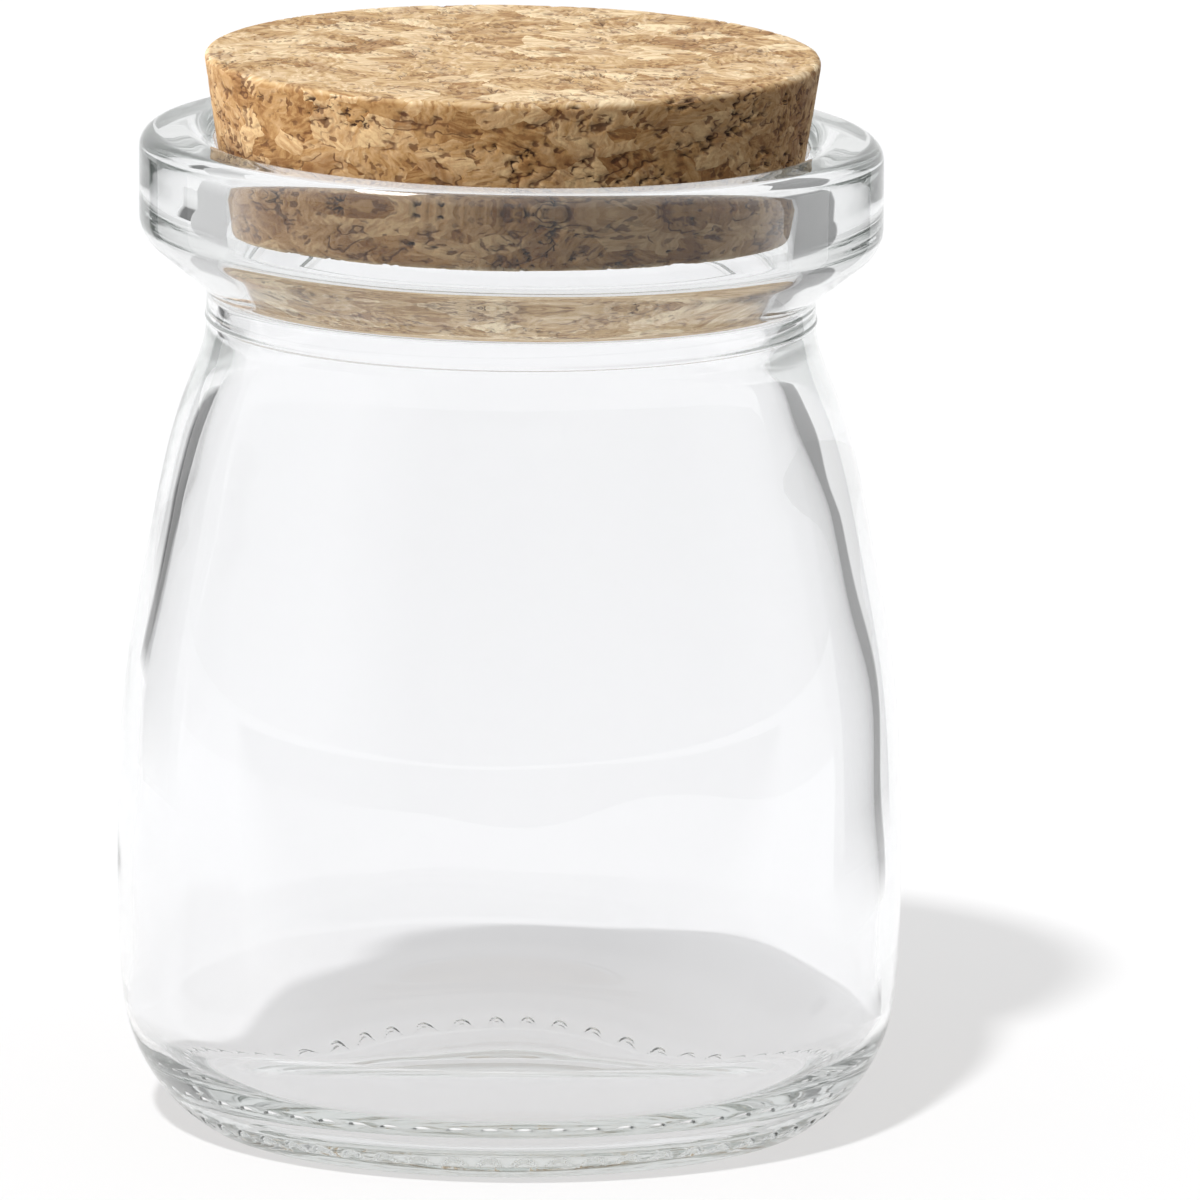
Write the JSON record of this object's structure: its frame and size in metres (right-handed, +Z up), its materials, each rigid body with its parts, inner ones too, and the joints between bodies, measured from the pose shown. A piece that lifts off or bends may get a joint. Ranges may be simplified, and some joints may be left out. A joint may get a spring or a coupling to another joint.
{
  "type": "glass jar with cork lid",
  "caption": "Wide-mouthed clear glass jar with a thick rolled lip and rounded shoulder, closed by a tapered cork stopper that lifts out.",
  "frame": {"origin": "centre of the jar's foot, in the plane that it stands on", "axes": "+Z up along the jar's axis, towards the cork"},
  "size_m": [0.058, 0.058, 0.0796],
  "materials": {
    "clear_glass": "fire-polished clear soda-lime glass",
    "cork": "ground agglomerated cork"
  },
  "bodies": {
    "jar": {"glass_jar": "clear_glass"},
    "lid": {"cork_stopper": "cork"}
  },
  "joints": [
    {"name": "cork_lift", "type": "slide", "parent": "jar", "child": "lid", "axis": [0, 0, 1], "range_m": [0, 0.03]}
  ]
}
